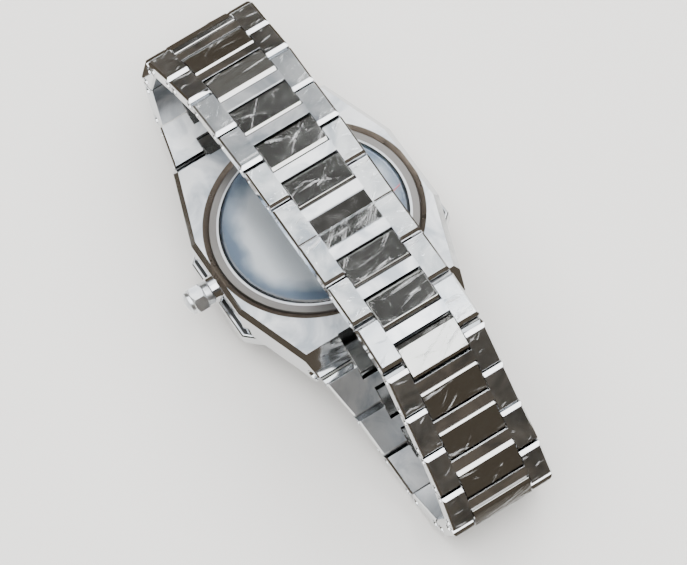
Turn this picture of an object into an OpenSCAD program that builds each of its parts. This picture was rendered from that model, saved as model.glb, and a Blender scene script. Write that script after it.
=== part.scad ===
// Steel wristwatch lying face down, its H-link bracelet closed over the case by a folding clasp.
// Every piece is drawn in the watch's own frame: X to the crown (3 o'clock), Y to 6 o'clock,
// Z out of the case back, which is the plane Z = 0. The bracelet is a closed chain of hinges in the
// plane X = 0. The last step, place(), tips the watch so that it rests on the bezel and the bracelet.

/* [Case] */
// Half width of the case at the crown
case_half_w = 20.5; // [19.5:0.1:22]
// Half length of the flat beside the crown
flank_half = 8.3; // [7.6:0.1:9]
// Half width of the case at the tips of the lugs
lug_half_w = 15; // [14.8:0.1:16]
// Height of the case middle
case_h = 6.5; // [6.4:0.1:7.5]
// Polished bevel round the case back side
case_bevel = 0.9; // [0.3:0.1:1.2]
// Where the flat back ends and the lugs begin to slope, from the centre
back_half = 22.3; // [21.5:0.1:22.8]
// Radius of the movement's chamber
chamber_r = 16.6; // [15.8:0.1:17]
// Radius of the case back
back_r = 18.8; // [18.2:0.1:19]
// Thickness of the case back
back_t = 1.2; // [0.9:0.1:1.4]
// Radius where the film on the case back ends
film_r = 17; // [15:0.1:17.2]
// Thickness of the rubber gasket under the bezel
gasket_t = 0.4; // [0.3:0.1:0.6]

/* [Bezel and dial] */
// Half width of the eight-sided bezel across its flats
bezel_half = 21.4; // [20.8:0.1:22]
// Height of the bezel
bezel_h = 3.6; // [3.2:0.1:4.5]
// Bevel round the bezel's front
bezel_bevel = 1.3; // [0.6:0.1:1.6]
// Radius of the crystal
crystal_r = 15.6; // [14.5:0.1:16]
// Thickness of the crystal
crystal_t = 1.5; // [1:0.1:1.8]
// Radius of the dial
dial_r = 15.3; // [14:0.1:15.4]
// Thickness of the dial
dial_t = 0.4; // [0.3:0.1:0.5]

/* [Crown] */
// Height of the crown's axis below the case back
crown_z = 3.3; // [3:0.1:3.6]
// Radius of the tube's collar on the case
collar_r = 2.5; // [2.2:0.1:2.6]
// Length of the collar
collar_l = 1.4; // [1:0.1:2]
// Radius of the crown's barrel
barrel_r = 2.1; // [1.8:0.1:2.2]
// Width of the crown's head across its flats
crown_flats = 4.6; // [4:0.1:5]
// Length of the crown from its seat to the tip of the dome
crown_l = 5; // [4:0.1:6]
// How far the crown pulls out to set the hands
crown_pull = 1; // [0.6:0.1:1.4]
// Radius of the winding stem
stem_r = 0.6; // [0.4:0.05:0.8]

/* [Bracelet] */
// Distance between the two pins of a centre link
centre_pitch = 2.7; // [2.6:0.05:2.9]
// Distance between the two pins of an H-link
h_pitch = 6.2; // [6:0.05:6.6]
// Thickness of the links
link_t = 3.5; // [3.2:0.1:3.8]
// Half width of the bracelet at the lugs
root_half_w = 14.6; // [14:0.1:14.8]
// Half width of the bracelet far from the lugs
strand_half_w = 9.4; // [8.8:0.1:10]
// Length over which the taper dies away
taper_l = 20; // [15:1:30]
// Share of the width that the centre links take
centre_share = 0.57; // [0.5:0.01:0.62]
// Length of an H-link's crossbar
crossbar_l = 2.3; // [2:0.1:3.3]
// Bevel along the long edges of the links
link_bevel = 0.35; // [0.2:0.05:0.6]
// Polished bevel across the ends of the links
end_bevel = 0.6; // [0.3:0.05:0.8]
// Radius of the bracelet's pins
pin_r = 0.5; // [0.4:0.05:0.6]
// Radius of the bars in the lugs
bar_r = 0.7; // [0.6:0.05:0.75]
// Distance of the bars from the centre of the case
bar_y = 24; // [23.9:0.1:24.4]
// Height of the bars below the case back
bar_z = 4.6; // [4.4:0.1:4.7]

/* [Clasp] */
// Distance between a blade's two pins
blade_l = 12.05; // [10:0.05:13]
// Distance of a blade's inner pin from the joint between the end links
tip_y = 1.95; // [1.8:0.05:2.4]
// Thickness of a blade
blade_t = 1; // [0.8:0.1:1.2]
// Thickness of the clasp plate
plate_t = 1; // [0.8:0.1:1.2]
// Half width of the blades and the plate
clasp_half_w = 8; // [7:0.1:8.6]
// Radius of the clasp's pins
clasp_pin_r = 0.45; // [0.35:0.05:0.5]
// Radius of the clasp's knuckles
knuckle_r = 0.95; // [0.85:0.05:1.1]

/* [Clearances] */
// Radial clearance of a pin in its bore
run_fit = 0.05; // [0.03:0.01:0.08]
// Side clearance between moving pieces
side_gap = 0.15; // [0.1:0.01:0.2]
// Gap between faces that pass each other in the clasp
face_gap = 0.25; // [0.2:0.05:0.3]

/* [Hidden] */
$fn = 48;
eps = 0.01;
far = 60;

// ---- The chain of hinges ----
// Each centre link bends at its two pins, half of its bend at each. The bends run from the
// 12 o'clock lug, round the bend, over the case to the clasp and back to the 6 o'clock lug.
bends = [38, 46, 46, 44, 2, 18, 0, 8, 0,
         0, 14, 46, 0, 0, 12, 46, 46, 46, 16, 0, -50];
n_centre = len(bends);
n_12 = 9;
n_6 = n_centre - n_12;
n_pins = 2 * n_centre;
pitch = centre_pitch + h_pitch;
middle_pin = 4;

function spacing(j) = j % 2 == 0 ? centre_pitch : j == 2 * n_12 - 1 ? 2 * h_pitch + centre_pitch : h_pitch;
function planned_turn(j) = bends[floor(j / 2)] / 2;
function along(a) = [-cos(a), sin(a)];
function planned_heading(j, first) = j <= first ? 0 : planned_heading(j - 1, first) + planned_turn(j);
function reach_from(first, last) =
    last <= first ? [0, 0]
                  : reach_from(first, last - 1) + spacing(last - 1) * along(planned_heading(last - 1, first));
function angle_of(v) = atan2(v[1], -v[0]);

// The chain closes on the lugs as a triangle: lug, the middle pin of the upper bend, lug.
span_a = reach_from(0, middle_pin);
span_b = reach_from(middle_pin, n_pins - 1);
side_a = norm(span_a);
side_b = norm(span_b);
base = 2 * bar_y;
lug_angle = acos((side_a * side_a + base * base - side_b * side_b) / (2 * side_a * base));
to_middle = side_a * [cos(lug_angle), sin(lug_angle)];
first_heading = angle_of(to_middle) - angle_of(span_a);
middle_heading = angle_of([base, 0] - to_middle) - angle_of(span_b);
headings = [for (j = [0 : n_pins - 2])
    j < middle_pin ? first_heading + planned_heading(j, 0)
                   : middle_heading + planned_heading(j, middle_pin) + (middle_heading < 0 ? 360 : 0)];
function pin_at(j) = j == 0 ? [-bar_y, -bar_z] : pin_at(j - 1) + spacing(j - 1) * along(headings[j - 1]);
pins = [for (j = [0 : n_pins - 1]) pin_at(j)];
turns = [for (j = [0 : n_pins - 1])
    j == 0 ? headings[0] : j == n_pins - 1 ? 360 - headings[j - 1] : headings[j] - headings[j - 1]];

// ---- Link sizes ----
half_t = link_t / 2;
max_bend = 24;
h_reach = centre_pitch / 2 - side_gap;
centre_reach = (h_pitch - crossbar_l) / 2 - side_gap;
// How far a link may reach past its pin at its face, so that it still clears its neighbour bent inwards
function face_reach(room) = (room - side_gap / 2 - half_t * sin(max_bend)) / cos(max_bend);
h_face = face_reach(centre_pitch / 2);
centre_face = face_reach((h_pitch - crossbar_l) / 2);
// Half the height of the flat at the middle of a link's end
edge_cut = 0.25;
pin_sink = 0.15;
sink_d = 0.35;
sink_rim = 0.25;
end_gap = 0.1;
end_l = h_pitch + centre_pitch / 2;

function gap_index(k) = k < n_12 ? k : n_centre - 1 - k;
function width_at(i) = strand_half_w + (root_half_w - strand_half_w) * exp(-i * pitch / taper_l);
function centre_w(k) = centre_share * width_at(gap_index(k));

// ---- Levels in the case, all below the case back ----
case_back_z = -back_t;
ledge_t = 1.1;
groove_w = 1;
gasket_r = 0.3;
gasket_mid = (chamber_r + back_r) / 2;
bar_head_r = 1.15;
bar_head_l = 0.5;
bar_head_x = lug_half_w - 0.6;
ledge_z = -(case_h - ledge_t);
ledge_r = dial_r + side_gap;
bezel_top = -(case_h + gasket_t);
bezel_bottom = bezel_top - bezel_h;
bezel_face = bezel_half - bezel_bevel;
crystal_sink = 0.1;
crystal_z = bezel_bottom + crystal_sink;
dial_z = ledge_z - dial_t;
hand_t = 0.25;
hand_gap = 0.3;
marker_t = 0.35;
hour_z = dial_z - marker_t - hand_gap - hand_t;
minute_z = hour_z - hand_gap - hand_t;
second_z = minute_z - hand_gap - hand_t;
arbor_r = 0.3;
crown_seat = case_half_w + collar_l;
// The stem's inner end, which keeps its hold in the movement when the crown is pulled
stem_hold = 5.6;
stem_x = chamber_r - stem_hold - crown_pull;
dome_wall = 1.2;

// ---- Levels in the clasp, in the end links' own frame ----
hinge_drop = 0.3;
eye_wall = 0.35;
blade_top = -(half_t + face_gap);
blade_z = blade_top - blade_t / 2;
blade_bottom = blade_top - blade_t;
plate_top = blade_bottom - face_gap;
plate_bottom = plate_top - plate_t;
hinge_z = plate_top - hinge_drop;
hinge_y = tip_y + blade_l;
tongue_w = 3.4;
tab_w = 3;
tip_r = clasp_pin_r + run_fit + eye_wall;

// ---- How the finished watch stands ----
function outer_corner(j, end, reach, t) =
    let (a = headings[j], out = [-sin(a), -cos(a)], s = spacing(j) / 2)
    (pins[j] + pins[j + 1]) / 2 + end * (s + reach) * along(a) + t * out;
function reach_of(j) = j % 2 == 0 ? centre_reach : h_reach;
corners = [for (j = [0 : n_pins - 2]) for (end = [-1, 1]) for (cut = [0, end_bevel])
    outer_corner(j, end, reach_of(j) - cut, half_t - end_bevel + cut)];
rest_edge = [-bezel_face, bezel_bottom];
tilt = max([for (c = corners) if (c[0] > 0) -atan2(c[1] - rest_edge[1], c[0] - rest_edge[0])]);
function tipped(p) = [p[0] * cos(tilt) - p[1] * sin(tilt), p[0] * sin(tilt) + p[1] * cos(tilt)];
lift = -tipped(rest_edge)[1];
tipped_y = [for (c = corners) tipped(c)[0]];
shift_y = -(max(tipped_y) + min(tipped_y)) / 2;
shift_x = -(crown_seat + crown_l - bezel_half) / 2;

module place() {
    translate([shift_x, shift_y, lift]) rotate([tilt, 0, 0]) children();
}

// Puts what is drawn along Y, outside up, at a point of the chain
module on_chain(point, heading) {
    translate([0, point[0], point[1]]) rotate([180 - heading, 0, 0]) children();
}

// A bar along X whose side view, in Y and Z, is the outline
module side_bar(half_w, outline) {
    translate([-half_w, 0, 0]) rotate([90, 0, 90]) linear_extrude(2 * half_w) polygon(outline);
}

module pin_x(r, half_l) {
    translate([-half_l, 0, 0]) rotate([0, 90, 0]) cylinder(r = r, h = 2 * half_l);
}

module pin_x_from(x0, x1, r) {
    translate([x0, 0, 0]) rotate([0, 90, 0]) cylinder(r = r, h = x1 - x0);
}

// A slab whose long side faces along the angle, bevelled at its upper and lower edges
module flank(angle, dist, bottom, top, low_bevel, high_bevel) {
    rotate([0, 0, angle]) translate([0, far, 0]) rotate([90, 0, 0]) linear_extrude(2 * far)
        polygon([[-far, bottom], [dist - low_bevel, bottom], [dist, bottom + low_bevel],
                 [dist, top - high_bevel], [dist - high_bevel, top], [-far, top]]);
}

// ---- Links ----
// The outline of one end of a link: face_in is its reach at the inner face, and a relieved end, which
// also bends outwards, has the same reach at the outer one
function link_end(y, dir, reach, face_in, relieved) =
    let (tip = y + dir * reach, face = y + dir * face_in)
    relieved ? [[face, -half_t], [tip, -edge_cut], [tip, edge_cut], [face, half_t]]
             : [[face, -half_t], [tip, -edge_cut], [tip, half_t - end_bevel],
                [tip - dir * end_bevel, half_t]];
function reversed(v) = [for (i = [len(v) - 1 : -1 : 0]) v[i]];

// A link's body: both long sides follow the taper and carry the polished bevels
module tapered_body(w0, w1, length, outline) {
    lean = atan((w0 - w1) / length);
    dist = (w0 + w1) / 2 * cos(lean);
    intersection() {
        side_bar(max(w0, w1) + 1, outline);
        flank(lean, dist, -half_t, half_t, link_bevel, link_bevel);
        mirror([1, 0, 0]) flank(lean, dist, -half_t, half_t, link_bevel, link_bevel);
    }
}

module centre_link(k) {
    w = centre_w(k);
    lug_side = k == 0 || k == n_centre - 1;
    s = centre_pitch / 2;
    color("gainsboro") place() on_chain((pins[2 * k] + pins[2 * k + 1]) / 2, headings[2 * k])
        difference() {
            side_bar(w, concat(reversed(link_end(-s, -1, centre_reach, centre_face, lug_side)),
                               link_end(s, 1, centre_reach, centre_face, lug_side)));
            translate([0, -s, 0]) pin_x((k == 0 ? bar_r : pin_r) + run_fit, w + eps);
            translate([0, s, 0]) pin_x((k == n_centre - 1 ? bar_r : pin_r) + run_fit, w + eps);
        }
}

// A notch for a centre link, open towards dir
module notch(w, y, dir) {
    translate([-w, dir > 0 ? y : y - pitch, -far]) cube([2 * w, pitch, 2 * far]);
}

// A pin across a notch, its ends sunk in countersinks in the link's sides
module link_pin(w, y) {
    translate([0, y, 0]) pin_x(pin_r, w - pin_sink);
}

module pin_sinks(w, y) {
    for (side = [0, 1]) mirror([side, 0, 0]) translate([0, y, 0])
        pin_x_from(w - sink_d, w + 1, pin_r + sink_rim);
}

module h_link(k) {
    w0 = width_at(gap_index(k - 1));
    w1 = width_at(gap_index(k));
    s = h_pitch / 2;
    after_lug = k == 1;
    before_lug = k == n_centre - 1;
    w_first = w0 + (w1 - w0) * centre_pitch / 2 / pitch;
    w_last = w1 - (w1 - w0) * centre_pitch / 2 / pitch;
    color("silver") place() on_chain((pins[2 * k - 1] + pins[2 * k]) / 2, headings[2 * k - 1]) {
        difference() {
            tapered_body(w0, w1, pitch, concat(reversed(link_end(-s, -1, h_reach, h_face, after_lug)),
                                               link_end(s, 1, h_reach, h_face, before_lug)));
            notch(centre_w(k - 1) + side_gap, -crossbar_l / 2, -1);
            notch(centre_w(k) + side_gap, crossbar_l / 2, 1);
            pin_sinks(w_first, -s);
            pin_sinks(w_last, s);
        }
        link_pin(w_first, -s);
        link_pin(w_last, s);
    }
}

// An end link in the joint's frame: origin where the two end links meet, this one on -Y
module end_body(k) {
    w0 = width_at(gap_index(k));
    w1 = width_at(gap_index(k) + 1);
    centre = centre_w(k);
    bar_end = -end_l + (h_pitch + crossbar_l) / 2;
    groove = 0.2;
    groove_d = 0.4;
    w_pin = w0 + (w1 - w0) * centre_pitch / 2 / pitch;
    meeting = (pitch - end_gap) / 2;
    tab_x = tab_w - side_gap;
    difference() {
        translate([0, -pitch / 2, 0])
            tapered_body(w0, w1, pitch,
                concat(reversed(link_end(-end_l + pitch / 2, -1, h_reach, h_face, false)),
                       [[meeting, -half_t], [meeting, half_t - edge_cut], [meeting - edge_cut, half_t]]));
        notch(centre + side_gap, bar_end - crossbar_l, -1);
        pin_sinks(w_pin, -end_l);
        // The grooves round the fixed half centre link
        translate([-centre - groove, bar_end, half_t - groove_d]) cube([2 * (centre + groove), groove, 1]);
        for (side = [0, 1]) mirror([side, 0, 0])
            translate([centre, bar_end, half_t - groove_d]) cube([groove, -bar_end, 1]);
    }
    link_pin(w_pin, -end_l);
    // The tab under the end link and the pin that the blade turns on
    translate([0, -tip_y, blade_z]) pin_x(tip_r, tab_x);
    translate([-tab_x, -tip_y - tip_r, blade_z]) cube([2 * tab_x, 2 * tip_r, -blade_z - half_t + eps]);
    translate([0, -tip_y, blade_z]) pin_x(clasp_pin_r, clasp_half_w - pin_sink);
}

joint_point = (pins[2 * n_12 - 1] + pins[2 * n_12]) / 2;
joint_heading = headings[2 * n_12 - 1];

module at_joint() {
    place() on_chain(joint_point, joint_heading) children();
}

module end_link_12() {
    color("silver") at_joint() end_body(n_12 - 1);
}

module end_link_6() {
    color("silver") at_joint() mirror([0, 1, 0]) end_body(n_12);
}

// ---- Clasp, in the joint's frame ----
// A blade on -Y: a fork at the tip round the end link's tab, a tongue with a knuckle at the outer end
module blade() {
    body_end = -hinge_y + knuckle_r + 1.5;
    hole_x = 4.6;
    hole_r = 1.1;
    difference() {
        union() {
            translate([-clasp_half_w, body_end, blade_bottom])
                cube([2 * clasp_half_w, -tip_y - body_end, blade_t]);
            translate([0, -tip_y, blade_z]) pin_x(blade_t / 2, clasp_half_w);
            translate([-tongue_w, -hinge_y, blade_bottom]) cube([2 * tongue_w, blade_l / 2, blade_t]);
            translate([0, -hinge_y, hinge_z]) pin_x(knuckle_r, tongue_w);
        }
        translate([-tab_w, -tip_y - tip_r - face_gap, blade_bottom - 1])
            cube([2 * tab_w, 2 * tip_r + 2, blade_t + 2]);
        // Two holes that lighten the blade
        for (side = [-1, 1]) translate([side * hole_x, -hinge_y / 2 - 1, blade_bottom - 1])
            cylinder(r = hole_r, h = blade_t + 2);
        translate([0, -tip_y, blade_z]) pin_x(clasp_pin_r + run_fit, far);
    }
}

module clasp_blade_6() {
    color("darkgray") at_joint() mirror([0, 1, 0]) difference() {
        blade();
        translate([0, -hinge_y, hinge_z]) pin_x(clasp_pin_r + run_fit, far);
    }
}

// This knuckle is a hook: the plate's pin leaves it towards the tip as the clasp opens
module clasp_blade_12() {
    bore_r = clasp_pin_r + run_fit;
    mouth = bore_r + 0.08;
    lip = 0.55;
    reach = 3;
    color("darkgray") at_joint() difference() {
        blade();
        translate([0, -hinge_y, hinge_z]) {
            pin_x(bore_r, far);
            side_bar(far, [[0, mouth], [reach, mouth - lip], [reach, -reach], [lip, -reach],
                           [-0.15, -mouth]]);
        }
    }
}

module clasp_plate() {
    knuckle_w = 2.2;
    knuckle_x = tongue_w + side_gap;
    window_r = 3;
    window_y = 4;
    color("silver") at_joint() {
        difference() {
            union() {
                translate([-clasp_half_w, -hinge_y, plate_bottom])
                    cube([2 * clasp_half_w, 2 * hinge_y, plate_t]);
                for (end = [-1, 1]) translate([0, end * hinge_y, hinge_z]) pin_x(knuckle_r, clasp_half_w);
            }
            // Room for the blades' tongues
            for (end = [0, 1]) mirror([0, end, 0])
                translate([-knuckle_x, -hinge_y - knuckle_r - 1, plate_bottom - 2])
                    cube([2 * knuckle_x, 2 * knuckle_r + 1 + face_gap, link_t + 2]);
            // The oval window in the middle of the plate
            for (end = [-1, 1]) translate([0, end * window_y, plate_bottom - 1])
                cylinder(r = window_r, h = plate_t + 2);
            translate([-window_r, -window_y, plate_bottom - 1])
                cube([2 * window_r, 2 * window_y, plate_t + 2]);
        }
        for (end = [-1, 1]) translate([0, end * hinge_y, hinge_z])
            pin_x(clasp_pin_r, knuckle_x + knuckle_w);
    }
}

// ---- Case ----
flank_angle = atan((case_half_w - lug_half_w) / (bar_y + h_reach - flank_half));
flank_dist = case_half_w * cos(flank_angle) + flank_half * sin(flank_angle);

module case_blank() {
    lug_end = bar_y + h_reach;
    lug_face = bar_y + h_face;
    half_side = [[back_half, 0], [lug_face, half_t - bar_z], [lug_end, edge_cut - bar_z],
                 [lug_end, -edge_cut - bar_z], [lug_face, -half_t - bar_z], [lug_face - 0.1, -case_h]];
    intersection() {
        side_bar(far, concat(half_side, [for (p = reversed(half_side)) [-p[0], p[1]]]));
        intersection_for(side = [0, 1]) intersection() {
            mirror([side, 0, 0]) flank(0, case_half_w, -case_h, 0, 0, case_bevel);
            mirror([side, 0, 0]) flank(flank_angle, flank_dist, -case_h, 0, 0, case_bevel);
            mirror([side, 0, 0]) flank(-flank_angle, flank_dist, -case_h, 0, 0, case_bevel);
        }
    }
}

module case_middle() {
    bore_r = back_r + side_gap / 3;
    groove_r = back_r + groove_w;
    groove_in = back_r - groove_w;
    groove_d = 0.35;
    notch_w = centre_w(0) + side_gap;
    notch_y = bar_y - (h_pitch - crossbar_l) / 2;
    color("lightgray") place() {
        difference() {
            union() {
                case_blank();
                translate([0, 0, -crown_z]) pin_x_from(case_half_w - 1, crown_seat, collar_r);
            }
            translate([0, 0, -case_h - 1]) cylinder(r = ledge_r, h = case_h);
            translate([0, 0, ledge_z]) cylinder(r = chamber_r, h = case_h);
            translate([0, 0, case_back_z]) cylinder(r = bore_r, h = back_t + 1);
            // The groove round the case back
            rotate_extrude()
                polygon([[groove_in, -groove_d], [bore_r, -groove_d], [groove_r, 0], [groove_r, 1],
                         [groove_in, 1]]);
            // The seat of the back's gasket
            translate([0, 0, case_back_z - gasket_r]) rotate_extrude() translate([gasket_mid, 0])
                square([2 * gasket_r + side_gap, 2 * gasket_r + eps], center = true);
            for (end = [0, 1]) mirror([0, end, 0]) {
                notch(notch_w, notch_y, 1);
                translate([0, bar_y, -bar_z]) pin_x(bar_r, far);
                for (side = [0, 1]) mirror([side, 0, 0])
                    translate([0, bar_y, -bar_z]) pin_x_from(bar_head_x, far, bar_head_r);
            }
            translate([0, 0, -crown_z]) pin_x_from(0, far, stem_r + run_fit);
        }
    }
}

module lug_bars() {
    slot = 0.3;
    slot_d = 0.25;
    head_end = bar_head_x + bar_head_l;
    color("silver") place() for (end = [-1, 1]) translate([0, end * bar_y, -bar_z]) difference() {
        union() {
            pin_x(bar_r, bar_head_x + eps);
            pin_x_from(bar_head_x, head_end, bar_head_r);
            mirror([1, 0, 0]) pin_x_from(bar_head_x, head_end, bar_head_r);
        }
        for (side = [0, 1]) mirror([side, 0, 0])
            translate([head_end - slot_d, -bar_head_r - 1, -slot / 2]) cube([1, 2 * bar_head_r + 2, slot]);
    }
}

module case_back() {
    step_w = 0.3;
    step_d = 0.12;
    bevel = 0.2;
    color("lightsteelblue") place() difference() {
        translate([0, 0, case_back_z]) cylinder(r = back_r, h = back_t, $fn = 96);
        // The fine step round the film
        rotate_extrude() translate([film_r, -step_d]) square([step_w, 1]);
        rotate_extrude()
            polygon([[back_r - bevel, eps], [back_r + 1, eps], [back_r + 1, -bevel], [back_r, -bevel]]);
    }
}

module back_gasket() {
    color("black") place() translate([0, 0, case_back_z - gasket_r]) rotate_extrude()
        translate([gasket_mid, 0]) circle(r = gasket_r);
}

module bezel_gasket() {
    inset = 0.6;
    half = bezel_half - inset;
    color("black") place() difference() {
        intersection_for(turn = [0 : 45 : 135])
            rotate([0, 0, turn]) translate([-half, -far, bezel_top]) cube([2 * half, 2 * far, gasket_t]);
        translate([0, 0, bezel_top - 1]) cylinder(r = crystal_r + inset, h = gasket_t + 2);
    }
}

module bezel() {
    seat_w = 0.9;
    back_bevel = 0.3;
    color("silver") place() difference() {
        intersection_for(turn = [0 : 45 : 315])
            flank(turn, bezel_half, bezel_bottom, bezel_top, bezel_bevel, back_bevel);
        translate([0, 0, bezel_bottom - 1]) cylinder(r = crystal_r, h = crystal_t + crystal_sink + 1);
        translate([0, 0, bezel_bottom]) cylinder(r = crystal_r - seat_w, h = bezel_h + 1);
    }
}

module crystal() {
    color("lightcyan", 0.5) place() translate([0, 0, crystal_z]) cylinder(r = crystal_r, h = crystal_t);
}

module dial() {
    color("midnightblue") place() {
        difference() {
            translate([0, 0, dial_z]) cylinder(r = dial_r, h = dial_t);
            translate([0, 0, dial_z - 1]) cylinder(r = 1, h = 3);
        }
    }
}

module hour_markers() {
    marker_in = 10.8;
    marker_l = 3;
    marker_w = 1;
    color("whitesmoke") place() for (hour = [0 : 11]) rotate([0, 0, 30 * hour])
        translate([-marker_w / 2, marker_in, dial_z - marker_t]) cube([marker_w, marker_l, marker_t]);
}

// A hand turned clockwise, as seen on the dial, from 12 o'clock
module hand(angle, z, length, tail, half_w) {
    rotate([0, 0, angle]) translate([0, 0, z]) difference() {
        union() {
            linear_extrude(hand_t) polygon([[-half_w, tail], [half_w, tail], [half_w * 0.8, -length + 1],
                                            [0, -length], [-half_w * 0.8, -length + 1]]);
            cylinder(r = half_w + 0.5, h = hand_t);
        }
        translate([0, 0, -1]) cylinder(r = arbor_r + run_fit, h = 3);
    }
}

module hour_hand() {
    color("whitesmoke") place() hand(304, hour_z, 8.6, 1.6, 0.75);
}

module minute_hand() {
    color("whitesmoke") place() hand(48, minute_z, 12.4, 2, 0.55);
}

module second_hand() {
    color("white") place() hand(210, second_z, 13.4, 3.6, 0.15);
}

module movement() {
    plate_gap = 0.1;
    plate_h = 0.8;
    bearing_r = 1.6;
    bearing_h = 0.9;
    rotor_gap = 0.1;
    rotor_t = 0.6;
    bearing_top = case_back_z - 0.5;
    plate_end = ledge_z + plate_h;
    bridge_r = chamber_r - 3;
    bridge_end = bearing_top - bearing_h;
    color("goldenrod") place() difference() {
        union() {
            translate([0, 0, ledge_z]) cylinder(r = chamber_r - plate_gap, h = plate_h);
            translate([0, 0, plate_end - eps]) cylinder(r = bridge_r, h = bridge_end - plate_end + eps);
            // The rotor's half disc on its bearing
            translate([0, 0, bridge_end - eps]) cylinder(r = bearing_r, h = bearing_h + eps);
            intersection() {
                translate([0, 0, bridge_end + rotor_gap]) cylinder(r = bridge_r, h = rotor_t);
                translate([-far, 0, -case_h]) cube([2 * far, far, case_h]);
            }
            translate([0, 0, second_z]) cylinder(r = arbor_r, h = ledge_z - second_z + eps);
        }
        translate([0, 0, -crown_z]) pin_x_from(stem_x - 1, far, stem_r + run_fit);
    }
}

module winding_stem() {
    color("silver") place() translate([0, 0, -crown_z])
        pin_x_from(stem_x, crown_seat + crown_l - dome_wall, stem_r);
}

module crown() {
    barrel_l = 1.1;
    head_l = 2.6;
    cut_l = 0.6;
    cut_r = 0.6;
    dome_l = crown_l - side_gap - barrel_l - head_l;
    dome_r = 2 * barrel_r;
    head_r = crown_flats / 2 / cos(30);
    rim_r = head_r + 0.1;
    flat_r = rim_r - cut_r;
    color("silver") place() translate([crown_seat + side_gap, 0, -crown_z]) rotate([0, 90, 0]) difference() {
        union() {
            cylinder(r = barrel_r, h = barrel_l + eps);
            translate([0, 0, barrel_l]) intersection() {
                rotate([0, 0, 30]) cylinder(r = head_r, h = head_l, $fn = 6);
                rotate_extrude() polygon([[0, 0], [flat_r, 0], [rim_r, cut_l], [rim_r, head_l - cut_l],
                                          [flat_r, head_l], [0, head_l]]);
            }
            translate([0, 0, barrel_l + head_l - eps]) rotate_extrude() intersection() {
                translate([0, dome_l - dome_r]) circle(r = dome_r, $fn = 96);
                square([barrel_r, dome_l + 1]);
            }
        }
        translate([0, 0, -1]) cylinder(r = stem_r + run_fit, h = crown_l - dome_wall + 1);
    }
}

// ---- The list of pieces ----

case_middle();
bezel();
bezel_gasket();
crystal();
case_back();
back_gasket();
dial();
hour_markers();
hour_hand();
minute_hand();
second_hand();
movement();
winding_stem();
crown();
lug_bars();
end_link_12();
end_link_6();
clasp_blade_12();
clasp_blade_6();
clasp_plate();
for (i = [1 : n_12]) centre_link(i - 1);
for (i = [1 : n_12 - 1]) h_link(i);
for (i = [1 : n_6]) centre_link(n_centre - i);
for (i = [1 : n_6 - 1]) h_link(n_centre - i);
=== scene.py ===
# %% [markdown]
# # A steel wristwatch lying face down, its bracelet closed into a loop
# The solids come from OpenSCAD. This script dresses them: it gives each one
# the finish of the real metal, glass or rubber, adds the clear protective
# films that a new watch wears, sets the studio light and the camera, and
# measures how well the picture agrees with the photograph.

import bpy
import bmesh
import math
import random
from mathutils import Matrix, Vector, noise
from mathutils.bvhtree import BVHTree


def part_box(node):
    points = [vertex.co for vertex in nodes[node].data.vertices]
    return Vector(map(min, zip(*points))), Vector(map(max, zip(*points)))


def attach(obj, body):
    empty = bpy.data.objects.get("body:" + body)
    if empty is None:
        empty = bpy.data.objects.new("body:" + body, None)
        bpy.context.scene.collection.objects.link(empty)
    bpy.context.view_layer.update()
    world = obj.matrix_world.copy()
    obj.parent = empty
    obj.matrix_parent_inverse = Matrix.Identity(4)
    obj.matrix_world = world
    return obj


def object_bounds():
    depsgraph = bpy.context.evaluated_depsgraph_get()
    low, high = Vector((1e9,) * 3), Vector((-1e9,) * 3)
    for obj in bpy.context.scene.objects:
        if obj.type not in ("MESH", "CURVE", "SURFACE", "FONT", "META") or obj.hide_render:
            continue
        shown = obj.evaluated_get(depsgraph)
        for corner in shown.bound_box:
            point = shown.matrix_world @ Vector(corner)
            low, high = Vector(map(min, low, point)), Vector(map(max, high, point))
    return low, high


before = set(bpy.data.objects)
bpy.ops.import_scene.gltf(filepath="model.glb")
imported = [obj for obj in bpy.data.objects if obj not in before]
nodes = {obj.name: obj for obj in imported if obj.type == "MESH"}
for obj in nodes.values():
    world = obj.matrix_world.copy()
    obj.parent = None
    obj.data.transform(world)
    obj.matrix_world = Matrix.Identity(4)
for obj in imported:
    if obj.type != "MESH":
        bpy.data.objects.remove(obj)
MM = 0.001
cad_box = [list(corner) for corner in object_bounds()]
print("CAD nodes:", len(nodes), "box in mm:", [[round(c / MM, 1) for c in p] for p in cad_box])

# %% [markdown]
# ## The camera
# A product photograph like this is taken with a long lens, so that near and
# far links look the same size. The camera is placed by how far it stands from
# one point on the watch and from which side, which is easier to correct than
# three raw coordinates: first the aim, then the distance, then the roll.

# %% Camera
PHOTO_W, PHOTO_H = 687, 565
CAMERA_AIM = Vector((0.151, 3.989, 20.522)) * MM
CAMERA_DISTANCE = 708.25 * MM
CAMERA_SIDE = math.radians(27.194)  # from +Y towards +X
CAMERA_HEIGHT = math.radians(71.042)  # above the table
CAMERA_ROLL = math.radians(-5.071)
CAMERA_LENS = 215.6  # mm, on a 36 mm sensor

towards = Vector((
    math.sin(CAMERA_SIDE) * math.cos(CAMERA_HEIGHT),
    math.cos(CAMERA_SIDE) * math.cos(CAMERA_HEIGHT),
    math.sin(CAMERA_HEIGHT),
))
level = Vector((0, 0, 1)).cross(towards).normalized()
upright = towards.cross(level)
right = math.cos(CAMERA_ROLL) * level + math.sin(CAMERA_ROLL) * upright
top = towards.cross(right)
camera = bpy.data.objects.new("camera", bpy.data.cameras.new("camera"))
bpy.context.scene.collection.objects.link(camera)
camera.data.sensor_fit = "AUTO"
camera.data.sensor_width = 36
camera.data.lens = CAMERA_LENS
camera.data.clip_end = 20
camera.matrix_world = Matrix.Translation(CAMERA_AIM + CAMERA_DISTANCE * towards) @ Matrix(
    (right, top, towards)
).transposed().to_4x4()
bpy.context.scene.camera = camera
print("camera at", [round(c / MM, 1) for c in camera.matrix_world.translation])

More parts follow.
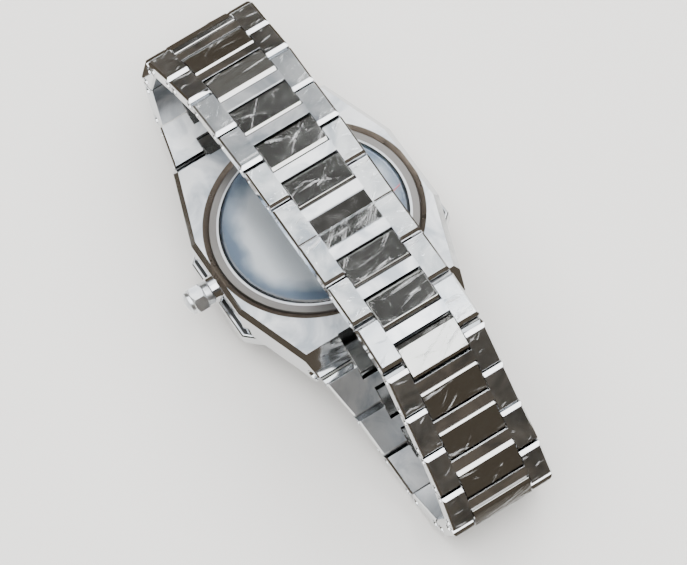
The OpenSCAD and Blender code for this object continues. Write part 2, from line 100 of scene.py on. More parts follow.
# %% [markdown]
# ## Reading a point of the photograph as a place on the watch
# A small thing such as a printed line is measured in the photograph and sent
# out along the camera's ray until it meets the surface that carries it. Typing
# its coordinates by hand would be the other way, and it would have to be done
# again each time the camera is corrected.

# %% Placing by ray
def image_ray(x, y):
    """The camera's place and the direction of the photograph's pixel x, y."""
    long_side = max(PHOTO_W, PHOTO_H)
    lens = camera.data
    across = x - PHOTO_W / 2 + lens.shift_x * long_side
    up = PHOTO_H / 2 - y + lens.shift_y * long_side
    back = -long_side * lens.lens / lens.sensor_width
    turn = camera.matrix_world.to_3x3()
    return camera.matrix_world.translation.copy(), (turn @ Vector((across, up, back))).normalized()


def image_point(place):
    """The photograph's pixel where a place in the scene shows."""
    seen = camera.matrix_world.inverted() @ Vector(place)
    long_side = max(PHOTO_W, PHOTO_H)
    lens = camera.data
    scale = long_side * lens.lens / lens.sensor_width / -seen.z
    return (
        PHOTO_W / 2 + seen.x * scale - lens.shift_x * long_side,
        PHOTO_H / 2 - seen.y * scale + lens.shift_y * long_side,
    )


def finished(thing):
    """The corners and faces of an object with its modifiers applied."""
    done = thing.evaluated_get(bpy.context.evaluated_depsgraph_get())
    mesh = done.to_mesh()
    corners = [thing.matrix_world @ v.co for v in mesh.vertices]
    faces = [tuple(p.vertices) for p in mesh.polygons]
    done.to_mesh_clear()
    return corners, faces


def surface_of(things):
    """A search tree of objects as finished."""
    corners, faces = [], []
    for thing in things:
        start = len(corners)
        more_corners, more_faces = finished(thing)
        corners += more_corners
        faces += [[start + i for i in face] for face in more_faces]
    return BVHTree.FromPolygons(corners, faces)


def place_on(tree, x, y):
    """Where the pixel's ray meets the surface, and the surface's normal there."""
    start, ahead = image_ray(x, y)
    hit, normal, _, _ = tree.ray_cast(start, ahead)
    if hit is None:
        nearest = start + ahead * CAMERA_DISTANCE
        hit, normal, _, _ = tree.find_nearest(nearest)
    return hit, normal


back_spot = image_point(sum(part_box("case_back"), Vector()) / 2)
print("the case back's middle shows at", [round(c, 1) for c in back_spot])

# %% [markdown]
# ## Colour and shader nodes
# Colours are written as the hex values of a screen and turned into the linear
# light that Cycles works in. Every shader below is built with one helper that
# adds a node, sets its values and connects its inputs.

# %% Colour and node helpers
def linear(hex_colour, alpha=1.0):
    """An sRGB hex colour as linear red, green, blue and alpha."""
    parts = [int(hex_colour[i : i + 2], 16) / 255 for i in (1, 3, 5)]
    return tuple(c / 12.92 if c <= 0.04045 else ((c + 0.055) / 1.055) ** 2.4 for c in parts) + (alpha,)


def add(tree, kind, values=None, links=None, **settings):
    """Adds a node, sets its properties and input values, and links its inputs."""
    node = tree.nodes.new(kind)
    for name, value in settings.items():
        setattr(node, name, value)
    for name, value in (values or {}).items():
        node.inputs[name].default_value = value
    for name, socket in (links or {}).items():
        tree.links.new(socket, node.inputs[name])
    return node


def start_material(name):
    """An empty node material and the Principled shader that it ends in."""
    material = bpy.data.materials.new(name)
    material.use_nodes = True
    shader = material.node_tree.nodes["Principled BSDF"]
    return material, material.node_tree, shader


# %% [markdown]
# ## Satin steel
# The case, the crown and the wide links are 316L stainless steel, drawn along
# the bracelet over a fine abrasive belt. The scratches all run one way, so the
# metal spreads a light across them and hardly along them: a broad soft
# whiteness that dies quickly where the bracelet bends. The shader's
# anisotropy does exactly that once it knows the way across, which is X on
# every link, because the bracelet bends round X only. A noise that changes
# only across X adds the scratches that can be seen.

# %% Satin steel
HAIRLINE = 0.16 * MM  # real belts leave 0.03 mm; drawn coarser so that it shows
SCRATCH_LENGTH = 25 * MM
SMEAR = 7 * MM
STEEL_SATIN = "#dfe1e3"
STEEL_SATIN_DEEP = "#a4abb3"


def satin_steel(name, bright, deep, roughness):
    """Stainless steel with fine scratches along the bracelet and faint cloudy smears."""
    material, tree, shader = start_material(name)
    where = add(tree, "ShaderNodeTexCoord")
    stretch = add(
        tree, "ShaderNodeMapping",
        {"Scale": (1 / HAIRLINE, 1 / SCRATCH_LENGTH, 1 / SCRATCH_LENGTH)},
        {"Vector": where.outputs["Object"]},
    )
    lines = add(
        tree, "ShaderNodeTexNoise",
        {"Scale": 1.0, "Detail": 3.0, "Roughness": 0.6}, {"Vector": stretch.outputs["Vector"]},
    )
    smears = add(
        tree, "ShaderNodeTexNoise",
        {"Scale": 1 / SMEAR, "Detail": 4.0, "Roughness": 0.55, "Distortion": 0.8},
        {"Vector": where.outputs["Object"]},
    )
    tone = add(tree, "ShaderNodeValToRGB", links={"Fac": smears.outputs["Fac"]})
    tone.color_ramp.elements[0].position = 0.35
    tone.color_ramp.elements[0].color = linear(deep)
    tone.color_ramp.elements[1].position = 0.6
    tone.color_ramp.elements[1].color = linear(bright)
    rough = add(
        tree, "ShaderNodeMapRange",
        {"From Min": 0.3, "From Max": 0.7, "To Min": roughness * 0.85, "To Max": roughness * 1.15},
        {"Value": smears.outputs["Fac"]},
    )
    bump = add(
        tree, "ShaderNodeBump", {"Strength": 0.12, "Distance": 0.01 * MM}, {"Height": lines.outputs["Fac"]},
    )
    across = add(tree, "ShaderNodeCombineXYZ", {"X": 1.0})
    shader.inputs["Metallic"].default_value = 1.0
    shader.inputs["Anisotropic"].default_value = 0.8
    tree.links.new(tone.outputs["Color"], shader.inputs["Base Color"])
    tree.links.new(rough.outputs["Result"], shader.inputs["Roughness"])
    tree.links.new(bump.outputs["Normal"], shader.inputs["Normal"])
    tree.links.new(across.outputs["Vector"], shader.inputs["Tangent"])
    return material


steel_satin = satin_steel("stainless_steel_satin", STEEL_SATIN, STEEL_SATIN_DEEP, 0.34)
print("made", steel_satin.name)

# %% [markdown]
# ## Polished steel
# The bevels, the small centre links, the clasp and the hands are buffed to a
# mirror. A mirror shows its surroundings, so it turns from white to dark
# within one link, which is what makes the photograph sparkle. Real polish is
# never perfect: rubbed-in wipes change its roughness a little. The same
# shader, made rough and coloured dark brown, also paints the shade in the
# groove further on.

# %% Polished steel
def even_steel(name, colour, roughness, wipe_size):
    """Stainless steel with faint wipes and no grain: buffed when smooth, blasted when rough."""
    material, tree, shader = start_material(name)
    where = add(tree, "ShaderNodeTexCoord")
    wipes = add(
        tree, "ShaderNodeTexNoise",
        {"Scale": 1 / wipe_size, "Detail": 5.0, "Roughness": 0.6, "Distortion": 0.4},
        {"Vector": where.outputs["Object"]},
    )
    rough = add(
        tree, "ShaderNodeMapRange",
        {"From Min": 0.35, "From Max": 0.7, "To Min": roughness * 0.6, "To Max": roughness * 1.8},
        {"Value": wipes.outputs["Fac"]},
    )
    bump = add(
        tree, "ShaderNodeBump", {"Strength": 0.08, "Distance": 0.02 * MM}, {"Height": wipes.outputs["Fac"]},
    )
    shader.inputs["Metallic"].default_value = 1.0
    shader.inputs["Base Color"].default_value = linear(colour)
    tree.links.new(rough.outputs["Result"], shader.inputs["Roughness"])
    tree.links.new(bump.outputs["Normal"], shader.inputs["Normal"])
    return material


steel_polished = even_steel("stainless_steel_polished", "#cfd1d3", 0.07, 5 * MM)
# The centre links' steel is painted a little darker than the other polish: painted shade, since the centre
# links look dark between the bright arms.
steel_centre_painted_darker = even_steel("stainless_steel_polished_centre_link", "#bcbcba", 0.09, 3 * MM)
steel_clasp = even_steel("stainless_steel_polished_clasp", "#b9bdc1", 0.10, 6 * MM)
print("made three polished steels")

# %% [markdown]
# ## Which face is brushed and which is polished
# A link is brushed on its broad faces and polished on its bevels and sides,
# and the two meet in a crisp line. The CAD solid already has the bevels, so
# it is enough to give its faces one of two materials by the way they look.

# %% Two finishes on one solid
SAME_WAY = 0.985  # cosine of 10 degrees: two directions that count as the same
SIDEWAYS = 0.3  # a face whose normal has more X than this is a side of the piece


def dress(name, main, bevels=None, brushed_ways=()):
    """Gives a CAD node its finish, with the bevels' finish on every face that looks another way."""
    mesh = nodes[name].data
    mesh.materials.clear()
    mesh.materials.append(main)
    if bevels is None:
        return
    mesh.materials.append(bevels)
    for face in mesh.polygons:
        broad = any(abs(face.normal.dot(way)) > SAME_WAY for way in brushed_ways)
        face.material_index = 0 if broad else 1


def broad_way(name):
    """The normal of the largest flat faces that don't look along X."""
    areas = {}
    for face in nodes[name].data.polygons:
        n = face.normal
        if abs(n.x) < SIDEWAYS:
            key = (round(n.y, 1), round(n.z, 1))
            total, mean = areas.get(key, (0.0, Vector()))
            areas[key] = (total + face.area, mean + n * face.area)
    return max(areas.values(), key=lambda a: a[0])[1].normalized()


EDGE_BREAK = 0.12 * MM
WELD_REACH = 0.001 * MM
FLAT_WITHIN = math.radians(0.5)
SHARP_FROM = math.radians(25)


def soften(name, width):
    """Breaks the sharp edges of a CAD node, as buffing does, so that they catch a line of light."""
    weld = nodes[name].modifiers.new("weld", "WELD")
    weld.merge_threshold = WELD_REACH
    flat = nodes[name].modifiers.new("flat_faces", "DECIMATE")
    flat.decimate_type = "DISSOLVE"
    flat.angle_limit = FLAT_WITHIN
    flat.delimit = {"MATERIAL"}
    edge = nodes[name].modifiers.new("broken_edge", "BEVEL")
    edge.width = width
    edge.segments = 3
    edge.limit_method = "ANGLE"
    edge.angle_limit = SHARP_FROM
    edge.harden_normals = True


case_way = broad_way("case_middle")
case_way = case_way if case_way.z > 0 else -case_way  # out of the case back
lengthwise = Vector((0, case_way.z, -case_way.y))
for name in nodes:
    if name.startswith("h_link"):
        dress(name, steel_satin, steel_polished, [broad_way(name)])
        soften(name, EDGE_BREAK)
    elif name.startswith("centre_link"):
        dress(name, steel_centre_painted_darker)
        soften(name, EDGE_BREAK)
    elif name.startswith("clasp"):
        dress(name, steel_clasp)
dress("end_link_12", steel_satin, steel_polished, [broad_way("end_link_12")])
dress("end_link_6", steel_satin, steel_polished, [broad_way("end_link_6")])
dress("case_middle", steel_satin, steel_polished, [case_way])
dress("bezel", steel_satin, steel_polished, [case_way])
for name in ("case_middle", "bezel", "crown"):
    soften(name, EDGE_BREAK)
# The real crown is a mirror. In this studio a mirror there would face the dark
# lane between the soft boxes, and satin keeps its upward flat bright.
dress("crown", steel_satin)
for name in ("winding_stem", "lug_bars", "hour_hand", "minute_hand", "second_hand", "hour_markers"):
    dress(name, steel_polished)
print("the case back looks along", [round(c, 3) for c in case_way])

# %% [markdown]
# ## The case back
# The round back is turned on a lathe, so it has fine concentric lines. Its
# middle and the step round it are pale, and the ring outside them is painted
# darker: painted shade beside the groove.
# Round the back runs the sloping groove of its seat. It is rough steel
# painted dark brown: painted shade, as the groove lies in shadow. These bands
# could be separate pieces, but they are one solid on the real watch, so they
# come from the distance to the middle of the back, and the groove from the
# slope of the case's own faces.

# %% Turned steel
back_low, back_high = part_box("case_back")
back_middle = (back_low + back_high) / 2
TURNED_PITCH = 0.2 * MM  # a turning tool leaves 0.05 mm; drawn coarser so that it shows
FILM_RADIUS = 17.0 * MM
BACK_RADIUS = 18.8 * MM
STEP_SHARE = 0.2  # how much of the way from the film's edge to the back's edge is pale
GROOVE_RADIUS = 20.0 * MM
GROOVE_SLOPE = 0.3  # the groove's faces look up by more than this, and walls by less


def from_middle(tree, middle, way):
    """Distance from the axis that runs through the middle along way, and the node of the place."""
    where = add(tree, "ShaderNodeTexCoord")
    moved = add(
        tree, "ShaderNodeVectorMath", {1: tuple(middle)}, {0: where.outputs["Object"]}, operation="SUBTRACT",
    )
    aside = add(
        tree, "ShaderNodeVectorMath", {1: tuple(way)}, {0: moved.outputs[0]}, operation="CROSS_PRODUCT",
    )
    return add(tree, "ShaderNodeVectorMath", {}, {0: aside.outputs[0]}, operation="LENGTH"), where


def turned_steel(name):
    """Lathe-turned steel: a pale middle and step, and a ring outside painted darker as painted shade."""
    material, tree, shader = start_material(name)
    away, _ = from_middle(tree, back_middle, case_way)
    rings = add(
        tree, "ShaderNodeTexNoise", {"Scale": 1 / TURNED_PITCH, "Detail": 2.0},
        {"W": away.outputs["Value"]}, noise_dimensions="1D",
    )
    rough = add(
        tree, "ShaderNodeMapRange",
        {"From Min": FILM_RADIUS * 0.995, "From Max": FILM_RADIUS, "To Min": 0.3, "To Max": 0.34},
        {"Value": away.outputs["Value"]},
    )
    bump = add(
        tree, "ShaderNodeBump", {"Strength": 0.2, "Distance": 0.01 * MM}, {"Height": rings.outputs["Fac"]},
    )
    share = add(
        tree, "ShaderNodeMapRange", {"From Min": FILM_RADIUS, "From Max": BACK_RADIUS},
        {"Value": away.outputs["Value"]},
    )
    tone = add(tree, "ShaderNodeValToRGB", links={"Fac": share.outputs["Result"]})
    pale_and_painted_shade_bands = tone.color_ramp
    pale_and_painted_shade_bands.interpolation = "CONSTANT"
    pale_and_painted_shade_bands.elements[0].color = linear("#dadde0")
    pale_and_painted_shade_bands.elements[1].position = STEP_SHARE
    # The ring outside the step is painted darker, as painted shade beside the groove.
    pale_and_painted_shade_bands.elements[1].color = linear("#7d7b79")
    shader.inputs["Metallic"].default_value = 1.0
    tree.links.new(tone.outputs["Color"], shader.inputs["Base Color"])
    tree.links.new(rough.outputs["Result"], shader.inputs["Roughness"])
    tree.links.new(bump.outputs["Normal"], shader.inputs["Normal"])
    return material


steel_turned = turned_steel("stainless_steel_turned_back")
dress("case_back", steel_turned)

# The sloping groove that the back sits in is rough steel painted dark brown: painted shade, as the groove
# lies in shadow.
steel_groove_painted_shade = even_steel("stainless_steel_groove_painted_shade", "#6b6259", 0.4, 2 * MM)
mesh = nodes["case_middle"].data
mesh.materials.append(steel_groove_painted_shade)
# The groove's faces get the steel that is painted dark brown as painted shade.
for face in mesh.polygons:
    arm = face.center - back_middle
    aside = (arm - case_way * arm.dot(case_way)).length
    if aside < GROOVE_RADIUS and GROOVE_SLOPE < face.normal.dot(case_way) < SAME_WAY:
        face.material_index = 2
print("case back", round((back_high.x - back_low.x) / MM, 1), "mm across")

# %% [markdown]
# ## Inside the case
# These parts can't be seen in the photograph, and they show only when the
# watch is turned over or opened, so they have the usual finish of their kind:
# black nitrile rubber, sapphire, a lacquered dial with sunburst brushing and
# gilt brass plates.

# %% Rubber, sapphire, dial and movement
rubber, tree, shader = start_material("nitrile_rubber")
where = add(tree, "ShaderNodeTexCoord")
grit = add(tree, "ShaderNodeTexNoise", {"Scale": 1 / (0.3 * MM)}, {"Vector": where.outputs["Object"]})
bump = add(tree, "ShaderNodeBump", {"Strength": 0.2, "Distance": 0.02 * MM}, {"Height": grit.outputs["Fac"]})
shader.inputs["Base Color"].default_value = linear("#1b1c1d")
shader.inputs["Roughness"].default_value = 0.7
tree.links.new(bump.outputs["Normal"], shader.inputs["Normal"])
dress("back_gasket", rubber)
dress("bezel_gasket", rubber)

sapphire, tree, shader = start_material("sapphire_crystal")
where = add(tree, "ShaderNodeTexCoord")
wipes = add(tree, "ShaderNodeTexNoise", {"Scale": 1 / (6 * MM)}, {"Vector": where.outputs["Object"]})
rough = add(
    tree, "ShaderNodeMapRange", {"To Min": 0.0, "To Max": 0.04}, {"Value": wipes.outputs["Fac"]},
)
shader.inputs["Base Color"].default_value = linear("#f4f8fa")
shader.inputs["Transmission Weight"].default_value = 1.0
shader.inputs["IOR"].default_value = 1.77
tree.links.new(rough.outputs["Result"], shader.inputs["Roughness"])
dress("crystal", sapphire)

dial_low, dial_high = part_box("dial")
dial_middle = (dial_low + dial_high) / 2
lacquer, tree, shader = start_material("dial_lacquer_sunburst")
where = add(tree, "ShaderNodeTexCoord")
turn = Vector((0, 0, 1)).rotation_difference(case_way).inverted().to_euler()
moved = add(
    tree, "ShaderNodeVectorMath", {1: tuple(dial_middle)}, {0: where.outputs["Object"]}, operation="SUBTRACT",
)
flat = add(
    tree, "ShaderNodeVectorRotate", {"Rotation": tuple(turn)}, {"Vector": moved.outputs[0]},
    rotation_type="EULER_XYZ",
)
round_it = add(tree, "ShaderNodeTexGradient", links={"Vector": flat.outputs[0]}, gradient_type="RADIAL")
BRUSH_STROKES = 260.0  # round the whole dial
rays = add(
    tree, "ShaderNodeTexNoise", {"Scale": BRUSH_STROKES, "Detail": 2.0}, {"W": round_it.outputs["Fac"]},
    noise_dimensions="1D",
)
tone = add(tree, "ShaderNodeValToRGB", links={"Fac": rays.outputs["Fac"]})
tone.color_ramp.elements[0].position = 0.3
tone.color_ramp.elements[0].color = linear("#101c33")
tone.color_ramp.elements[1].position = 0.75
tone.color_ramp.elements[1].color = linear("#24406e")
shader.inputs["Metallic"].default_value = 0.6
shader.inputs["Roughness"].default_value = 0.32
shader.inputs["Coat Weight"].default_value = 0.6
tree.links.new(tone.outputs["Color"], shader.inputs["Base Color"])
dress("dial", lacquer)

gilt, tree, shader = start_material("gilt_brass_plate")
where = add(tree, "ShaderNodeTexCoord")
pearls = add(
    tree, "ShaderNodeTexVoronoi", {"Scale": 1 / (1.1 * MM)}, {"Vector": where.outputs["Object"]},
)
bump = add(
    tree, "ShaderNodeBump", {"Strength": 0.3, "Distance": 0.03 * MM}, {"Height": pearls.outputs["Distance"]},
)
shader.inputs["Base Color"].default_value = linear("#d8b878")
shader.inputs["Metallic"].default_value = 1.0
shader.inputs["Roughness"].default_value = 0.28
tree.links.new(bump.outputs["Normal"], shader.inputs["Normal"])
dress("movement", gilt)
print("dial", round((dial_high.x - dial_low.x) / MM, 1), "mm across")

# %% [markdown]
# ## Clear protective film
# Every link still wears its factory film: polyethylene about 0.05 mm thick,
# cut to the link's flat face and creased where fingers have bent it. The
# creases could be painted as pale lines, but on the real film they are only
# slopes that throw the light of the soft boxes aside, so that they come and
# go as the watch turns. Each film is therefore a thin sheet of its own with
# straight low ridges, over the steel that shows through it. Along a sharp
# fold polyethylene is stretched and turns milky, so each vertex also carries
# how much it is folded, and the shader lets less light through there.

# %% Film material
def clear_film(name, colour, roughness, strength):
    """Thin clear plastic with fine wrinkles, milky where the attribute fold is high."""
    material, tree, shader = start_material(name)
    where = add(tree, "ShaderNodeTexCoord")
    wrinkles = add(
        tree, "ShaderNodeTexNoise",
        {"Scale": 1 / (1.6 * MM), "Detail": 3.0, "Distortion": 1.2}, {"Vector": where.outputs["Object"]},
    )
    bump = add(
        tree, "ShaderNodeBump", {"Strength": strength, "Distance": 0.15 * MM},
        {"Height": wrinkles.outputs["Fac"]},
    )
    shader.inputs["Base Color"].default_value = linear(colour)
    shader.inputs["Roughness"].default_value = roughness
    shader.inputs["IOR"].default_value = 1.51
    folded = add(tree, "ShaderNodeAttribute", attribute_name="fold")
    clear = add(
        tree, "ShaderNodeMapRange", {"From Min": 0.4, "From Max": 0.9, "To Min": 1.0, "To Max": 0.72},
        {"Value": folded.outputs["Fac"]},
    )
    tree.links.new(clear.outputs["Result"], shader.inputs["Transmission Weight"])
    tree.links.new(bump.outputs["Normal"], shader.inputs["Normal"])
    return material


film_clear = clear_film("polyethylene_film_clear", "#f5f6f6", 0.08, 0.2)


# %% Which way a link looks
def middle_of(name):
    """The middle of a node's box."""
    low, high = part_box(name)
    return (low + high) / 2


def outward_ways(names, turn):
    """The outward normal of each link in a row that starts at the case."""
    middles = [middle_of(name) for name in names]
    ways = {}
    for i, name in enumerate(names):
        ahead = middles[min(i + 1, len(names) - 1)] - middles[max(i - 1, 0)]
        guess = Vector((0, turn * ahead.z, -turn * ahead.y)).normalized()
        way = broad_way(name)
        ways[name] = way if way.dot(guess) > 0 else -way
    return ways


def row_of(side, count):
    """The links of one side in order from the case, with its end link last."""
    names = []
    for i in range(1, count + 1):
        names += [f"centre_link_{side}_{i}", f"h_link_{side}_{i}"]
    return names[:-1] + [f"end_link_{side}"]


N_12, N_6 = 9, 12  # centre links on the 12 o'clock side and on the 6 o'clock side
link_ways = outward_ways(row_of(6, N_6), 1)
link_ways.update(outward_ways(row_of(12, N_12), -1))
print("links in the bracelet:", len(link_ways))


# %% Where a film lies
LINK_GAP = 0.15 * MM
HALF_CENTRE = 3.25 * MM  # how far a fixed half centre link reaches from the closing line
FACE_WAY = 0.99  # cosine of 8 degrees: a face that belongs to the flat outer face
ARM_FROM = 0.5 * MM  # corners this far outside the centre link belong to the link's arms
END_REACH = 0.1 * MM  # corners this near an arm's end belong to the end
FILM_MARGIN = 0.05 * MM


def outer_corners(name):
    """The corners of a link's flat outer face."""
    way = link_ways[name]
    mesh = nodes[name].data
    return [mesh.vertices[i].co for f in mesh.polygons if f.normal.dot(way) > FACE_WAY for i in f.vertices]


def along_of(name):
    """The direction along a link, across X and in its face."""
    return Vector((0, link_ways[name].z, -link_ways[name].y))


def closing_line(name):
    """The place along an end link's face where it meets the other end link."""
    along, corners = along_of(name), outer_corners(name)
    other = middle_of("end_link_6" if name == "end_link_12" else "end_link_12")
    places = [c.dot(along) for c in corners]
    return max(places) if (other - middle_of(name)).dot(along) > 0 else min(places)


def centre_half_width(name):
    """Half the width of a centre link."""
    low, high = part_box(name)
    return (high.x - low.x) / 2


def spread(corners, along):
    """Where corners begin and end along a direction."""
    places = [c.dot(along) for c in corners]
    return min(places), max(places)


def film_areas(name):
    """The rectangles that films cover on a link's outer face: x from, x to, place along from, to."""
    corners, along = outer_corners(name), along_of(name)
    x_mid = middle_of(name).x
    if name.startswith("centre"):
        half = max(abs(c.x - x_mid) for c in corners)
        return [(x_mid - half, x_mid + half, *spread(corners, along))]
    side, number = name.split("_")[2], name.split("_")[3:]
    last = N_6 if side == "6" else N_12
    inner = centre_half_width(f"centre_link_{side}_{number[0] if number else last}") + LINK_GAP
    arm = [c for c in corners if abs(c.x - x_mid) > inner + ARM_FROM]
    outer = min(max(c.x for c in arm), 2 * x_mid - min(c.x for c in arm)) - x_mid
    places = spread(arm, along)
    narrow = min(
        max(abs(c.x - x_mid) for c in arm if abs(c.dot(along) - place) < END_REACH) for place in places
    )
    outer = min(outer, narrow) - FILM_MARGIN
    areas = [(x_mid + inner, x_mid + outer, *places), (x_mid - outer, x_mid - inner, *places)]
    if not number:
        line = closing_line(name)
        far_end = line - HALF_CENTRE if line == places[1] else line + HALF_CENTRE
        half = inner - LINK_GAP
        areas.append((x_mid - half, x_mid + half, min(line, far_end), max(line, far_end)))
    return areas


# %% [markdown]
# The end links each carry half a centre link as part of the same solid,
# marked off by fine grooves. It is polished as the loose ones are.

# %% Fixed half centre links
SIDE_SLACK = 0.02 * MM
END_SLACK = 0.1 * MM
for name, last_centre in (("end_link_12", f"centre_link_12_{N_12}"), ("end_link_6", f"centre_link_6_{N_6}")):
    mesh, along, line = nodes[name].data, along_of(name), closing_line(name)
    half = centre_half_width(last_centre) + SIDE_SLACK
    mesh.materials.append(steel_centre_painted_darker)
    polished = 0
    for face in mesh.polygons:
        spots = [mesh.vertices[i].co for i in face.vertices]
        if face.normal.dot(link_ways[name]) > FACE_WAY and all(
            abs(c.x - middle_of(name).x) < half and abs(c.dot(along) - line) < HALF_CENTRE + END_SLACK
            for c in spots
        ):
            face.material_index = 2
            polished += 1
    print(name, "polished faces in the half centre link:", polished)

# %% Cutting and laying the films
FILM_T = 0.05 * MM
FILM_CELL = 0.2 * MM
FILM_LIFT = 0.015 * MM  # how close the film lies
WAVE_LIFT = 0.012 * MM
WAVE_ACROSS, WAVE_ALONG = 2.5 * MM, 1.8 * MM
CREASE_HALF = 0.25 * MM
CREASE_HEIGHT = 0.12 * MM
CREASE_COUNT = (5, 9)
CREASE_ROWS = (0.1, 0.5, 0.9)  # where folds start, as a share of the film's length
CREASE_TURN = (-0.5, 0.9)  # radians from X
CREASE_REACH = (0.3, 0.8)  # as a share of the film's width
CREASE_SHARE = (0.4, 1.0)  # of the full height


def crease_lines(seed, width, length):
    """A few straight folds: a place on the film, the fold's direction, its reach and its height."""
    dice = random.Random(seed)
    folds = []
    for _ in range(dice.randint(*CREASE_COUNT)):
        place = Vector((dice.uniform(0, width), dice.choice(CREASE_ROWS) * length))
        angle = dice.uniform(*CREASE_TURN)
        folds.append((
            place, Vector((math.cos(angle), math.sin(angle))), dice.uniform(*CREASE_REACH) * width,
            dice.uniform(*CREASE_SHARE) * CREASE_HEIGHT,
        ))
    return folds


def crease_height(spot, folds):
    """How high the film stands at a spot because of its folds."""
    height = 0.0
    for place, ahead, reach, top in folds:
        off = spot - place
        side = abs(off.x * ahead.y - off.y * ahead.x)
        on = abs(off.dot(ahead))
        height += top * max(0.0, 1 - side / CREASE_HALF) * max(0.0, 1 - on / reach)
    return height


def lay_film(name, area, number, seed):
    """A creased sheet on one rectangle of a link's outer face."""
    way, along = link_ways[name], along_of(name)
    height = max(c.dot(way) for c in outer_corners(name))
    x_from, x_to, start, end = area
    width, length = x_to - x_from, end - start
    columns, rows = max(4, round(width / FILM_CELL)), max(4, round(length / FILM_CELL))
    folds = crease_lines(seed, width, length)
    mesh = bmesh.new()
    grid = []
    folded = []
    for row in range(rows + 1):
        line = []
        for column in range(columns + 1):
            spot = Vector((width * column / columns, length * row / rows))
            wave = noise.noise(Vector((spot.x / WAVE_ACROSS, spot.y / WAVE_ALONG, seed)))
            crease = crease_height(spot, folds)
            folded.append(crease / CREASE_HEIGHT)
            lift = FILM_LIFT + WAVE_LIFT * abs(wave) + crease
            line.append(mesh.verts.new(
                Vector((x_from + spot.x, 0, 0)) + along * (start + spot.y) + way * (height + lift)
            ))
        grid.append(line)
    for row in range(rows):
        for column in range(columns):
            mesh.faces.new((
                grid[row][column], grid[row][column + 1], grid[row + 1][column + 1], grid[row + 1][column],
            ))
    bmesh.ops.recalc_face_normals(mesh, faces=mesh.faces)
    data = bpy.data.meshes.new(f"film_{name}_{number}")
    mesh.to_mesh(data)
    mesh.free()
    data.attributes.new("fold", "FLOAT", "POINT").data.foreach_set("value", folded)
    if data.polygons[0].normal.dot(way) < 0:
        data.flip_normals()
    for face in data.polygons:
        face.use_smooth = True
    film = bpy.data.objects.new(data.name, data)
    bpy.context.scene.collection.objects.link(film)
    thick = film.modifiers.new("thickness", "SOLIDIFY")
    thick.thickness = FILM_T
    thick.offset = 1
    thick.use_rim = False
    data.materials.append(film_clear)
    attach(film, name)
    return film


films = []
for name in link_ways:
    for number, area in enumerate(film_areas(name), 1):
        films.append(lay_film(name, area, number, len(films)))
print("films laid:", len(films))

# %% [markdown]
# ## The film on the case back
# It is a disc of blue-tinted film a little smaller than the back. Its rim
# stands a little off the steel. It looks clear in the middle and blue-grey
# near the rim: partly the film's own tint and partly a painted reflection
# that darkens the rim. One fine red line is printed on it to help to find its
# edge; its two ends are read from the picture and placed on the film by ray.

# %% Back film
def back_plane(radius, angle, height):
    """A place over the case back: radius and angle about its middle, and height from its middle."""
    across = Vector((1, 0, 0))
    spot = back_middle + across * radius * math.cos(angle) + lengthwise * radius * math.sin(angle)
    return spot + case_way * height


back_top = max(v.co.dot(case_way) for v in nodes["case_back"].data.vertices) - back_middle.dot(case_way)
# The blue towards the rim is partly the film's own tint and partly a painted reflection that darkens the rim.
BLUE_EDGE_WANDER = 1.4 * MM  # how far the blue edge wanders in and out
BLUE_FROM, BLUE_FULL = 0.76, 0.93  # where the blue starts and is full, as shares of the radius

film_blue, tree, shader = start_material("polyethylene_film_blue")
away, where = from_middle(tree, back_middle, case_way)
patches = add(
    tree, "ShaderNodeTexNoise", {"Scale": 1 / (7 * MM), "Detail": 3.0}, {"Vector": where.outputs["Object"]},
)
shifted = add(
    tree, "ShaderNodeMapRange",
    {"From Min": 0.3, "From Max": 0.7, "To Min": -BLUE_EDGE_WANDER, "To Max": BLUE_EDGE_WANDER},
    {"Value": patches.outputs["Fac"]},
)
reach = add(
    tree, "ShaderNodeMath", {}, {0: away.outputs["Value"], 1: shifted.outputs["Result"]}, operation="ADD",
)
share = add(
    tree, "ShaderNodeMapRange", {"From Min": 0.0, "From Max": FILM_RADIUS}, {"Value": reach.outputs[0]},
)
# Near white in the middle, blue-grey at the rim: the film's tint with a painted reflection laid into it.
tint_and_painted_reflection = add(tree, "ShaderNodeValToRGB", links={"Fac": share.outputs["Result"]})
tint_and_painted_reflection.color_ramp.elements[0].position = BLUE_FROM
tint_and_painted_reflection.color_ramp.elements[0].color = linear("#fafcfd")
tint_and_painted_reflection.color_ramp.elements[1].position = BLUE_FULL
tint_and_painted_reflection.color_ramp.elements[1].color = linear("#abb8c6")
shader.inputs["Roughness"].default_value = 0.22
shader.inputs["IOR"].default_value = 1.51
shader.inputs["Transmission Weight"].default_value = 1.0
tree.links.new(tint_and_painted_reflection.outputs["Color"], shader.inputs["Base Color"])

